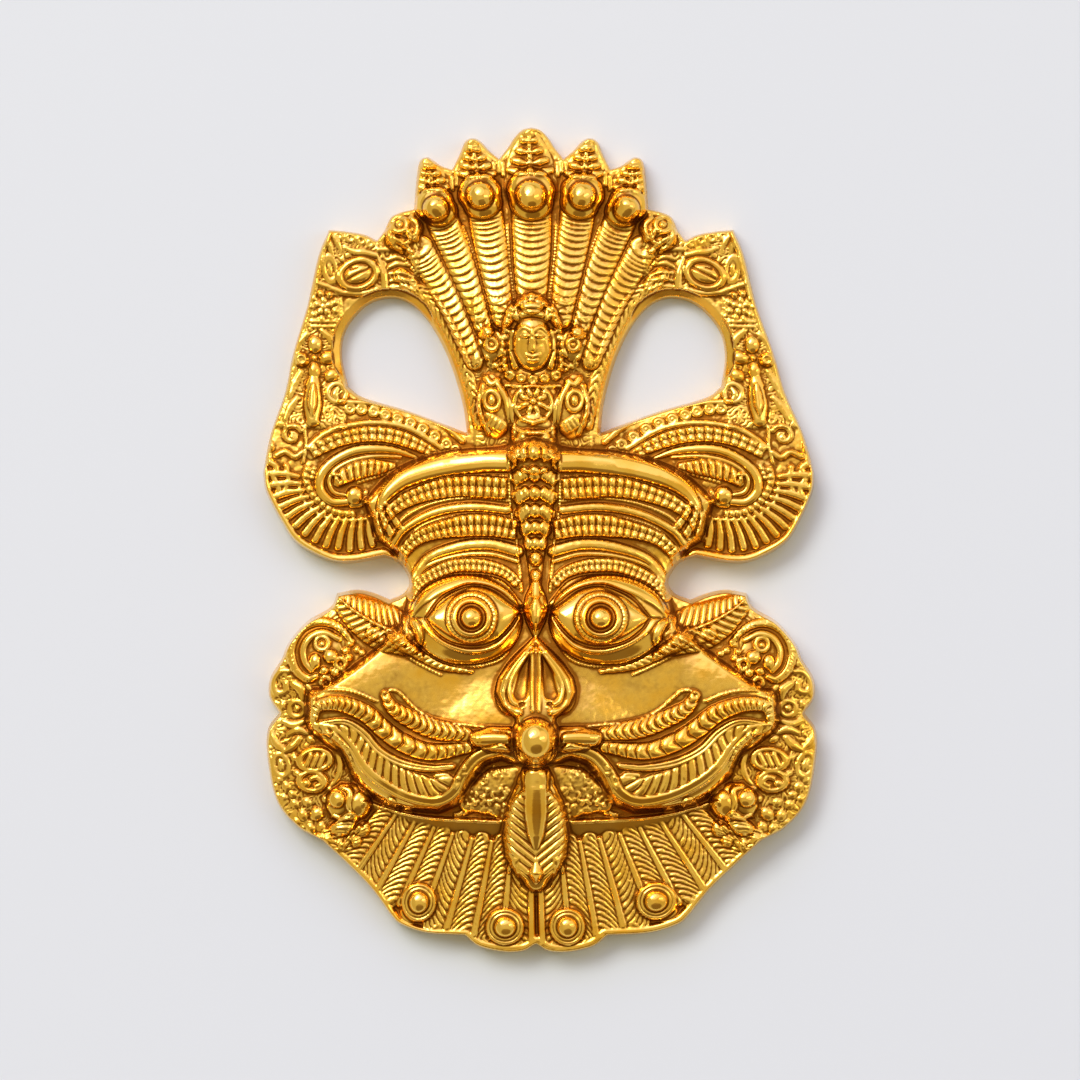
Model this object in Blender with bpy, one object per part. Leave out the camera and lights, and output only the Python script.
"""Small cast mask against the evil eye: a bulging-eyed face with a crest of five serpents.

The casting lies on its flat back: +Z out of the relief, +Y towards the crest, +X to the viewer's right.
One half is drawn and mirrored, and a slight hand-made lean is laid over both. Plan places and relief
heights are thousandths of the mask's length: (distance from the middle line, distance above the centre).
"""

import math

import bmesh
import bpy
import numpy as np
from mathutils import Vector
from mathutils.geometry import delaunay_2d_cdt

MM = 0.001

# Driving dimensions
LENGTH = 101.6 * MM
RIM_HEIGHT = 2.6 * MM
RIM_DRAFT = 1.1 * MM
CREST_LEAN = 1.3 * MM

# Working unit and facet sizes, in thousandths of the length
UNIT = LENGTH / 1000
RIM = RIM_HEIGHT / UNIT
DRAFT = RIM_DRAFT / UNIT
LEAN = CREST_LEAN / UNIT
FACET = 23
SMALL_FACET = 13
OUTLINE_FACET = 19
FIELD_FACET = 33
NEAREST = 2.8
CLEAR_OF_RIM = 3.5

# Lines that a form's facets follow, as shares of its half-width, and the half-width that calls for each
CONTOURS = ((1.03, 0), (0.76, 13), (0.42, 17))

# The casting's edge, from the top of the middle leaf round to the cleft of the beard: smooth runs
# that meet at corners
EDGE = (
    ((0, 500), (17, 489), (28, 478), (39, 464)),
    ((39, 464), (53, 475), (72, 487)),
    ((72, 487), (84, 477), (88, 466), (97, 449)),
    ((97, 449), (112, 459), (125, 464)),
    ((125, 464), (137, 456), (139, 436), (142, 401)),
    ((142, 401), (158, 397), (170, 391), (178, 375), (187, 363)),
    ((187, 363), (201, 370), (223, 374), (245, 376)),
    ((245, 376), (258, 344), (272, 285), (291, 227), (303, 179), (322, 130), (334, 82)),
    ((334, 82), (331, 58), (314, 22), (295, -5), (258, -25), (228, -28), (188, -21)),
    ((188, -21), (170, -28), (157, -49), (164, -64), (182, -72)),
    ((182, -72), (202, -64), (223, -60), (248, -64)),
    ((248, -64), (256, -81), (284, -98), (306, -123), (315, -144)),
    ((315, -144), (329, -167), (330, -190), (318, -209)),
    ((318, -209), (332, -230), (332, -267), (321, -316), (296, -347), (266, -364)),
    ((266, -364), (235, -393), (206, -422), (183, -452)),
    ((183, -452), (169, -465), (135, -476), (87, -479)),
    ((87, -479), (70, -492), (40, -499), (15, -498), (0, -490)),
)

# The opening beside the crest, clockwise from its foot
LOOP = (
    ((81, 130), (86, 167), (101, 218), (122, 260), (145, 287), (169, 293)),
    ((169, 293), (200, 284), (225, 256), (232, 224), (226, 186)),
    ((226, 186), (208, 173), (157, 158), (112, 142), (81, 130)),
)

# The raised block of the face, from the brow round the moustache to the chin
FACE = (
    ((0, 123), (43, 113), (113, 106), (172, 85), (213, 48)),
    ((213, 48), (196, 3), (168, -25), (158, -61), (167, -100)),
    ((167, -100), (203, -132), (243, -161), (284, -185)),
    ((284, -185), (282, -228), (242, -258), (228, -285), (203, -310), (165, -325), (118, -329)),
    ((118, -329), (90, -316), (75, -289), (61, -271), (42, -264)),
    ((42, -264), (34, -287), (18, -299), (0, -302)),
)


def smooth_step(value, low, high):
    """0 below low, 1 above high, and an even S between them."""
    t = np.clip((value - low) / (high - low), 0, 1)
    return t * t * (3 - 2 * t)


def curve(points, step):
    """Points about a step apart along a smooth curve through the given points, ends kept."""
    ends = (2 * np.array(points[0]) - points[1], 2 * np.array(points[-1]) - points[-2])
    knots = np.array([ends[0], *points, ends[1]], float)
    fine = []
    for i in range(1, len(knots) - 2):
        p, q, r, s = knots[i - 1 : i + 3]
        for t in np.linspace(0, 1, 24, endpoint=False):
            fine.append(0.5 * (2 * q + (r - p) * t + (2 * p - 5 * q + 4 * r - s) * t**2
                               + (3 * q - p - 3 * r + s) * t**3))
    fine = np.array([*fine, knots[-2]])
    run = np.concatenate([[0], np.cumsum(np.hypot(*np.diff(fine, axis=0).T))])
    count = max(2, round(run[-1] / step) + 1)
    even = np.linspace(0, run[-1], count)
    return np.column_stack([np.interp(even, run, fine[:, 0]), np.interp(even, run, fine[:, 1])])


def joined(runs, step):
    """One line through smooth runs that meet at corners."""
    parts = [curve(run, step) for run in runs]
    return np.vstack([part[:-1] for part in parts] + [parts[-1][-1:]])


def mirrored(half):
    """The closed line made of a half that starts and ends on the middle line, and its mirror image."""
    return np.vstack([half, (half * (-1, 1))[-2:0:-1]])


def along(points, path):
    """Distance from each point to the path, and how far along the path its nearest place is, 0 to 1."""
    start = path[:-1]
    span = path[1:] - start
    size = np.hypot(*span.T)
    before = np.concatenate([[0], np.cumsum(size)])[:-1]
    rel = points[:, None] - start[None]
    t = np.clip((rel * span).sum(2) / size**2, 0, 1)
    off = rel - t[..., None] * span
    dist = np.hypot(off[..., 0], off[..., 1])
    near = dist.argmin(1)
    rows = np.arange(len(points))
    return dist[rows, near], (before[near] + t[rows, near] * size[near]) / size.sum()


def inside(points, loop):
    """Whether each point lies within a closed line."""
    a = loop
    b = np.roll(loop, -1, axis=0)
    y = points[:, 1][:, None]
    crosses = (a[:, 1] > y) != (b[:, 1] > y)
    rise = np.where(b[:, 1] == a[:, 1], 1, b[:, 1] - a[:, 1])
    x = a[:, 0] + (y - a[:, 1]) * (b[:, 0] - a[:, 0]) / rise
    return (crosses & (points[:, 0][:, None] < x)).sum(1) % 2 == 1


def closed(loop):
    return np.vstack([loop, loop[:1]])


def normals(path):
    """Unit normals at the points of an open line, to the left of its run."""
    way = np.gradient(path, axis=0)
    way = way / np.hypot(*way.T)[:, None]
    return np.column_stack([-way[:, 1], way[:, 0]])


def inset(loop, amount):
    """The closed line moved inwards, held off where it is narrow; the material is on its left."""
    before = loop - np.roll(loop, 1, axis=0)
    after = np.roll(loop, -1, axis=0) - loop
    before = before / np.hypot(*before.T)[:, None]
    after = after / np.hypot(*after.T)[:, None]
    way = before + after
    way = way / np.hypot(*way.T)[:, None]
    half_turn = np.clip((before * way).sum(1), 0.6, 1)
    step = np.column_stack([-way[:, 1], way[:, 0]]) * (amount / half_turn)[:, None]
    for _ in range(6):
        reach = along(loop + step, closed(loop))[0]
        step = np.where((reach < 0.8 * amount)[:, None], step * 0.85, step)
    return loop + step


class Carving:
    """Forms laid over one half of the mask, and the lines that its facets follow.

    Forms of one group share their ground: where they overlap, the higher one stands. Groups add up.
    """

    def __init__(self):
        self.groups = {}
        self.lines = []

    def add(self, group, height, *lines):
        self.groups.setdefault(group, []).append(height)
        self.lines.extend(lines)

    def ridge(self, group, path, widths, height, flat=2):
        """A raised band with a rounded top; widths are half-widths spread evenly along it."""
        line = curve(path, FACET * 0.7)
        width = np.atleast_1d(np.array(widths, float))
        places = np.linspace(0, 1, len(width))

        def rise(points):
            dist, t = along(points, line)
            part = np.clip(dist / np.maximum(np.interp(t, places, width), 0.01), 0, 1)
            return height * np.sqrt(1 - part**flat)

        crest = curve(path, FACET)
        reach = np.interp(np.linspace(0, 1, len(crest)), places, width)[:, None] * normals(crest)
        shares = [share for share, least in CONTOURS if width.max() > least]
        self.add(group, rise, crest, *(crest + side * share * reach for share in shares for side in (1, -1)))

    def dome(self, group, centre, radii, height, turn=0, flat=2):
        """An oval boss; its long axis is turned anticlockwise by some degrees."""
        rx, ry = radii
        c, s = math.cos(math.radians(turn)), math.sin(math.radians(turn))

        def rise(points):
            x, y = (points - centre).T
            part = np.clip(np.hypot((x * c + y * s) / rx, (y * c - x * s) / ry), 0, 1)
            return height * np.sqrt(1 - part**flat)

        def ring(share, count):
            a = np.linspace(0, 2 * math.pi, count + 1)
            x, y = rx * share * np.cos(a), ry * share * np.sin(a)
            return np.column_stack([centre[0] + x * c - y * s, centre[1] + x * s + y * c])

        count = 4 * min(5, max(2, round(math.pi * (rx + ry) / SMALL_FACET / 4)))
        rings = [ring(share, 4 * max(2, round(count * share / 4))) for share, least in CONTOURS if max(rx, ry) > least]
        self.add(group, rise, np.array([centre, centre], float), *rings)

    def swell(self, centre, radii, height):
        """A broad soft rise of the ground, with no edge of its own."""

        def rise(points):
            x, y = ((points - centre) / radii).T
            return height * np.clip(1 - x * x - y * y, 0, 1) ** 1.5

        self.groups.setdefault(f"ground {len(self.groups)}", []).append(rise)

    def plateau(self, runs, wall, run, crown, reach):
        """A block with a steep wall and a crowned top, mirrored at the middle line."""
        loop = mirrored(joined(runs, OUTLINE_FACET))

        def rise(points):
            within = inside(points, loop)
            dist = np.where(within, along(points, closed(loop))[0], 0)
            t = np.clip(dist / reach, 0, 1)
            return wall * np.clip(dist / run, 0, 1) + crown * np.sqrt(1 - (1 - t) ** 2)

        top = inset(loop[::-1], run)
        self.add("face", rise, closed(loop), closed(top))

    def heights(self, points):
        total = np.full(len(points), RIM)
        for forms in self.groups.values():
            total += np.max([form(points) for form in forms], axis=0)
        return total


def ground(carving):
    """Broad swells under the carving, and the raised block of the face."""
    carving.swell((240, 72), (145, 133), 10)
    carving.swell((0, -267), (352, 261), 26)
    carving.swell((270, -219), (109, 206), 12)
    carving.swell((0, 242), (133, 230), 18)
    carving.plateau(FACE, wall=14, run=10, crown=27, reach=150)


def crest(carving):
    """Veined leaves, five hooded serpent heads with balls, and their ringed necks."""
    for tip, base, width in (
        ((0, 495), (0, 438), 18),
        ((70, 481), (62, 436), 16),
        ((124, 458), (118, 421), 13),
    ):
        middle = ((tip[0] + base[0]) / 2, (tip[1] + base[1]) / 2)
        carving.ridge("necks", (tip, middle, base), (1, width, width), 8)
    heads = (
        ((0, 418), 29, 18, ((0, 397), (0, 345), (0, 293)), (25, 22, 18)),
        ((63, 418), 27, 17, ((59, 397), (50, 336), (37, 268)), (22, 17, 11)),
        ((115, 401), 23, 15, ((108, 380), (81, 324), (57, 254)), (19, 15, 8)),
    )
    for place, hood, ball, neck, widths in heads:
        carving.ridge("necks", neck, widths, 16)
        carving.dome("necks", place, (hood, hood), 22)
        carving.dome("balls", place, (ball, ball), ball * 1.1)
    carving.ridge("necks", ((137, 351), (100, 288), (69, 207)), (13, 11, 6), 14)
    carving.dome("necks", (153, 372), (23, 17), 16, turn=40)
    carving.ridge("border", ((158, 322), (118, 288), (91, 239), (75, 188), (65, 140)),
                  (8, 8, 7), 7)


def figure(carving):
    """The small seated guardian below the crest: headdress, head, chest and shields, in plain forms."""
    carving.dome("figure", (0, 227), (38, 58), 14)
    carving.dome("figure head", (0, 278), (21, 19), 9)
    carving.dome("figure head", (0, 236), (23, 32), 17)
    carving.dome("figure", (51, 232), (16, 25), 15)
    carving.dome("figure", (0, 167), (36, 41), 18)
    carving.dome("figure", (47, 165), (19, 38), 18)
    carving.dome("figure", (0, 116), (36, 29), 16)


def brow(carving):
    """The chain down the forehead and the bands that arch over each eye."""
    for y, width in ((94, 25), (67, 23), (41, 19), (14, 16),
                     (-13, 12), (-39, 8)):
        carving.dome("chain", (0, y), (width, 18), 16)
    carving.ridge("brow", ((33, 93), (110, 88), (161, 71), (186, 48), (193, 22)),
                  (12, 13, 13, 11, 6), 15)
    carving.ridge("brow", ((38, 62), (111, 60), (160, 39), (187, 9)), (12, 12), 10)
    carving.ridge("brow", ((32, 15), (88, 18), (133, 5), (167, -20)), (12, 12), 10)
    carving.ridge("brow", ((27, -14), (76, -7), (121, -18), (152, -41)), (7, 7), 8)


def eyes(carving):
    """Bulging almond eyes with rolled lids, a ringed iris and a ball for the pupil."""
    iris = (78, -92)
    carving.ridge("socket", ((161, -96), (126, -96), (87, -94), (49, -90), (14, -82)),
                  (2, 39, 52, 42, 2), 20, flat=4)
    carving.ridge("lid", ((153, -92), (126, -58), (85, -44), (46, -56), (19, -84)),
                  (6, 8, 6), 9)
    carving.ridge("lid", ((153, -99), (126, -128), (85, -141), (43, -125), (20, -89)),
                  (6, 11, 6), 11)
    carving.dome("iris", iris, (30, 30), 7)
    carving.dome("pupil", iris, (12, 12), 10)


def nose(carving):
    """The drop on the bridge, the spade-shaped nose, its ball and the bars beside it."""
    line = [(0, y) for y in (-53, -71, -92, -115)]
    carving.ridge("nose", line, (8, 15, 12, 3), 20)
    line = [(0, y) for y in (-119, -136, -153, -170, -187, -202)]
    carving.ridge("nose", line, (3, 16, 29, 41, 46, 32), 30)
    carving.dome("nose curls", (20, -191), (16, 13), 8)
    carving.dome("nose", (0, -265), (24, 29), 26)
    carving.dome("nose", (0, -238), (25, 28), 44)
    carving.ridge("nose", ((69, -237), (54, -238), (35, -239)), (11, 13, 13), 20)


def moustache(carving):
    """Coiled whiskers on the lip, the feathered band under them and the smooth rim below."""
    carving.ridge("whiskers", ((185, -185), (158, -203), (126, -222), (81, -232)),
                  (2, 11, 11, 8), 11)
    carving.ridge("whiskers", ((275, -209), (258, -196), (231, -199), (199, -216), (166, -239),
                               (126, -253), (76, -253)), (7, 11, 11, 11, 10), 12)
    carving.ridge("whiskers", ((265, -221), (238, -222), (210, -236), (187, -256), (153, -270),
                               (93, -268)), (6, 6), 8)
    carving.ridge("whiskers", ((255, -239), (226, -249), (201, -271), (162, -296), (124, -308),
                               (97, -300)), (8, 12, 12, 10), 9)


def mouth(carving):
    """The lower lip, and the ribbed tongue with its drop and bud."""
    carving.ridge("lip", ((208, -319), (167, -339), (117, -348), (52, -346)), (7, 11, 10), 16)
    line = [(0, y) for y in (-279, -308, -338, -367, -396, -425)]
    carving.ridge("lip", line, (32, 41, 41, 36, 23, 3), 26)
    line = [(0, y) for y in (-289, -316, -342, -372)]
    carving.ridge("tongue drop", line, (10, 15, 12, 3), 16)
    carving.dome("tongue drop", (0, -396), (11, 18), 9)


def beard(carving):
    """Feather strips that fan out from above the mouth to the edge, and four studded medallions."""
    heart = np.array((0, -89))
    studs = ((38, -467), (143, -435))
    for k in range(9):
        angle = math.radians(2.6 + 4.9 * k)
        way = np.array([math.sin(angle), -math.cos(angle)])
        start, end = (301, 378 - 2.0 * k) if k > 1 else (345, 388)
        path = [tuple(heart + way * reach) for reach in np.linspace(start, end, 3)]
        carving.ridge("strips", path, (10, 12, 13), 11)
    for stud in studs:
        carving.dome("strips", stud, (23, 23), 10, flat=6)
        carving.dome("studs", stud, (13, 13), 14)


def ears(carving):
    """Shell-like ears: ribs along the lower edge, arched rolls and the curl in the middle."""
    hub = np.array((227, 84))
    for k in range(11):
        angle = math.radians(-8 - 12.5 * k)
        way = np.array([math.cos(angle), math.sin(angle)])
        near, far = 51, 97 - 1 * abs(k - 5)
        carving.ridge("ears", [tuple(hub + way * near), tuple(hub + way * (near + far) / 2),
                               tuple(hub + way * far)], (5, 7, 7), 7)
    carving.ridge("ears", ((258, 140), (237, 153), (199, 159), (157, 148), (118, 132), (91, 115)),
                  (8, 8), 8)
    carving.ridge("ears", ((277, 94), (266, 111), (240, 122), (200, 129), (160, 121), (118, 105)),
                  (8, 8), 9)
    carving.ridge("ears", ((141, 100), (201, 108), (241, 98), (261, 76), (257, 56), (234, 48)),
                  (5, 7, 7), 11)
    carving.dome("ears", (222, 54), (12, 12), 15)
    carving.ridge("ears", ((169, 83), (207, 89), (236, 75)), (6, 8), 8)
    carving.dome("ears", (316, 75), (12, 16), 9)
    carving.dome("ears", (294, 127), (13, 18), 9, turn=-20)


def columns(carving):
    """Flowers, buds and the pendant on the columns that carry the upper corners."""
    carving.ridge("column", ((269, 186), (271, 164), (268, 138)), (6, 11, 3), 11)
    carving.dome("column", (266, 226), (19, 19), 11)
    carving.dome("column", (252, 271), (15, 17), 9)
    carving.dome("column", (293, 174), (11, 16), 8)
    carving.dome("column", (212, 322), (25, 16), 11, turn=15)
    carving.dome("column", (246, 310), (12, 16), 8)
    carving.dome("column", (235, 353), (13, 15), 7)
    carving.dome("column", (166, 325), (17, 13), 8, turn=-30)


def sides(carving):
    """Leaves, scrolls, rosettes and bosses of the side clusters."""
    carving.ridge("sides", ((241, -70), (205, -90), (158, -125), (120, -151)),
                  (7, 22, 16, 5), 13)
    carving.ridge("sides", ((255, -156), (242, -134), (254, -113), (278, -108), (295, -125), (293, -147)),
                  (6, 8, 7), 12)
    carving.dome("sides", (271, -135), (11, 11), 12)
    for place, radii, height in (
        ((311, -172), (15, 16), 10),
        ((289, -198), (16, 15), 10),
        ((308, -242), (17, 16), 9),
        ((272, -264), (22, 21), 14),
        ((311, -279), (16, 17), 9),
        ((276, -302), (18, 18), 13),
        ((235, -312), (27, 25), 20),
        ((299, -323), (16, 16), 9),
        ((268, -342), (15, 13), 9),
        ((238, -351), (18, 15), 12),
    ):
        carving.dome("sides", place, radii, height)


def leaning(points):
    """Places across the mask once the face is set over to the right of the crest."""
    swing = smooth_step(-points[:, 1], -351, --73)
    hold = 0.45 + 0.55 * smooth_step(np.abs(points[:, 0]), 73, 242)
    return points[:, 0] + LEAN * swing * hold


def facets(points, lines, wanted):
    """Corners and triangles that follow the lines where wanted holds, and where each given point went."""
    corners, _, faces, sources, *_ = delaunay_2d_cdt([Vector(p) for p in points], lines, [], 0, 1e-5)
    corners = np.array([tuple(c) for c in corners])
    faces = np.array(faces)
    places = {given: made for made, several in enumerate(sources) for given in several}
    return corners, faces[wanted(corners[faces].mean(1))], places


class Plan:
    """Plan points and the lines between them, where points that nearly meet become one."""

    def __init__(self):
        self.points = []
        self.lines = []
        self.cells = {}

    def cell(self, point):
        return int(point[0] // NEAREST), int(point[1] // NEAREST)

    def place(self, point, fixed=False):
        cx, cy = self.cell(point)
        if not fixed:
            for i in range(cx - 1, cx + 2):
                for j in range(cy - 1, cy + 2):
                    for index in self.cells.get((i, j), ()):
                        if math.dist(self.points[index], point) < NEAREST:
                            return index
        self.cells.setdefault((cx, cy), []).append(len(self.points))
        self.points.append((float(point[0]), float(point[1])))
        return len(self.points) - 1

    def line(self, places):
        for a, b in zip(places, places[1:]):
            if a is not None and b is not None and a != b:
                self.lines.append((a, b))


def crossing(a, b, path):
    """Whether the straight line from a to b crosses the path."""
    p, q = path[:-1], path[1:]

    def side(o, d, x):
        return (d[..., 0] - o[..., 0]) * (x[..., 1] - o[..., 1]) - (d[..., 1] - o[..., 1]) * (x[..., 0] - o[..., 0])

    return bool(((side(p, q, a) * side(p, q, b) < 0) & (side(a, b, p) * side(a, b, q) < 0)).any())


def relief_facets(carving, rim_edge, rim_hole):
    """The carved face of one half within its rim: corners with heights, triangles, and the rim's corners."""
    rims = (rim_edge, closed(rim_hole))

    def on_relief(points):
        return inside(points, rim_edge) & ~inside(points, rim_hole)

    def roomy(points):
        return on_relief(points) & np.all([along(points, rim)[0] > CLEAR_OF_RIM for rim in rims], axis=0)

    plan = Plan()
    edge_places = [plan.place(point, True) for point in rim_edge]
    hole_places = [plan.place(point, True) for point in rim_hole]
    plan.line(edge_places)
    plan.line([*hole_places, hole_places[0]])
    for line in carving.lines:
        line = np.where(np.abs(line) < (NEAREST, 0), line * (0, 1), line)
        fits = roomy(line + (0.01, 0)) & (line[:, 0] >= 0)
        places = [plan.place(point) if fit else None for point, fit in zip(line, fits)]
        for a, b in zip(places, places[1:]):
            if a is None or b is None or a == b:
                continue
            ends = np.array(plan.points[a]), np.array(plan.points[b])
            if not any(crossing(*ends, rim) for rim in rims):
                plan.lines.append((a, b))
    low, high = rim_edge.min(0), rim_edge.max(0)
    field = np.array([(x, y + (k % 2) * FIELD_FACET / 2)
                      for k, x in enumerate(np.arange(low[0] + FIELD_FACET / 2, high[0], FIELD_FACET * 0.87))
                      for y in np.arange(low[1], high[1], FIELD_FACET)])
    taken = np.array(plan.points)
    for point in field[roomy(field)]:
        if np.hypot(*(taken - point).T).min() > FIELD_FACET / 2:
            plan.place(point)
    middle = sorted(y for x, y in plan.points if x == 0)
    for low_y, high_y in zip(middle, middle[1:]):
        steps = max(1, round((high_y - low_y) / FACET))
        stops = [(0.0, y) for y in np.linspace(low_y, high_y, steps + 1)]
        plan.line([plan.points.index(stops[0]), *(plan.place(stop, True) for stop in stops[1:-1]),
                   plan.points.index(stops[-1])])
    corners, faces, places = facets(plan.points, plan.lines, on_relief)
    corners = np.column_stack([corners, carving.heights(corners)])
    return corners, faces, [places[given] for given in edge_places + hole_places]


def back_facets(edge, hole):
    """The flat back of one half: corners, triangles, and the corners along its edge and its opening."""
    n, m = len(edge), len(hole)
    lines = [(i, (i + 1) % n) for i in range(n)] + [(n + i, n + (i + 1) % m) for i in range(m)]
    corners, faces, places = facets(np.vstack([edge, hole]), lines,
                                    lambda points: inside(points, edge) & ~inside(points, hole))
    return np.column_stack([corners, np.zeros(len(corners))]), faces, [places[i] for i in range(n + m)]


def half_mask():
    """Corners and triangles of one half: relief, drafted walls and flat back."""
    carving = Carving()
    for carve in (ground, crest, figure, brow, eyes, nose, moustache, mouth, beard, ears, columns, sides):
        carve(carving)
    edge = joined(EDGE, OUTLINE_FACET)
    edge[[0, -1], 0] = 0
    hole = joined(LOOP, OUTLINE_FACET)[:-1]
    rim_edge = inset(mirrored(edge)[::-1], DRAFT)[::-1][: len(edge)]
    rim_edge[[0, -1], 0] = 0
    rim_hole = inset(hole, DRAFT)
    top, faces, rim = relief_facets(carving, rim_edge, rim_hole)
    low, back, foot = back_facets(edge, hole)
    foot = [len(top) + i for i in foot]
    triangles = [*faces.tolist(), *(len(top) + back[:, ::-1]).tolist()]
    n, m = len(edge), len(hole)
    for a, b in [(i, i + 1) for i in range(n - 1)] + [(n + i, n + (i + 1) % m) for i in range(m)]:
        triangles += [(foot[a], rim[b], foot[b]), (foot[a], rim[a], rim[b])]
    return np.vstack([top, low]), triangles


def material(name, colour, roughness):
    made = bpy.data.materials.new(name)
    made.use_nodes = True
    shader = made.node_tree.nodes["Principled BSDF"]
    shader.inputs["Base Color"].default_value = (*colour, 1)
    shader.inputs["Metallic"].default_value = 1
    shader.inputs["Roughness"].default_value = roughness
    return made


def mirror_and_lean(points, triangles):
    """Both halves, joined along the middle line, with the lean laid over them, in metres."""
    on_middle = np.abs(points[:, 0]) < 1e-4
    points[on_middle, 0] = 0
    twin = np.arange(len(points))
    twin[~on_middle] = len(points) + np.arange((~on_middle).sum())
    points = np.vstack([points, points[~on_middle] * (-1, 1, 1)])
    faces = triangles + [(twin[a], twin[c], twin[b]) for a, b, c in triangles]
    points[:, 0] = leaning(points)
    points[:, :2] -= (points[:, :2].min(0) + points[:, :2].max(0)) / 2
    return points * UNIT, faces


def main():
    for thing in list(bpy.data.objects):
        bpy.data.objects.remove(thing)
    points, faces = mirror_and_lean(*half_mask())
    mesh = bpy.data.meshes.new("mask")
    mesh.from_pydata(points.tolist(), [], [tuple(map(int, face)) for face in faces])
    mesh.materials.append(material("gilt brass", (0.83, 0.5, 0.13), 0.25))
    shell = bmesh.new()
    shell.from_mesh(mesh)
    bmesh.ops.recalc_face_normals(shell, faces=shell.faces)
    shell.to_mesh(mesh)
    shell.free()
    mask = bpy.data.objects.new("mask", mesh)
    bpy.context.scene.collection.objects.link(mask)


main()
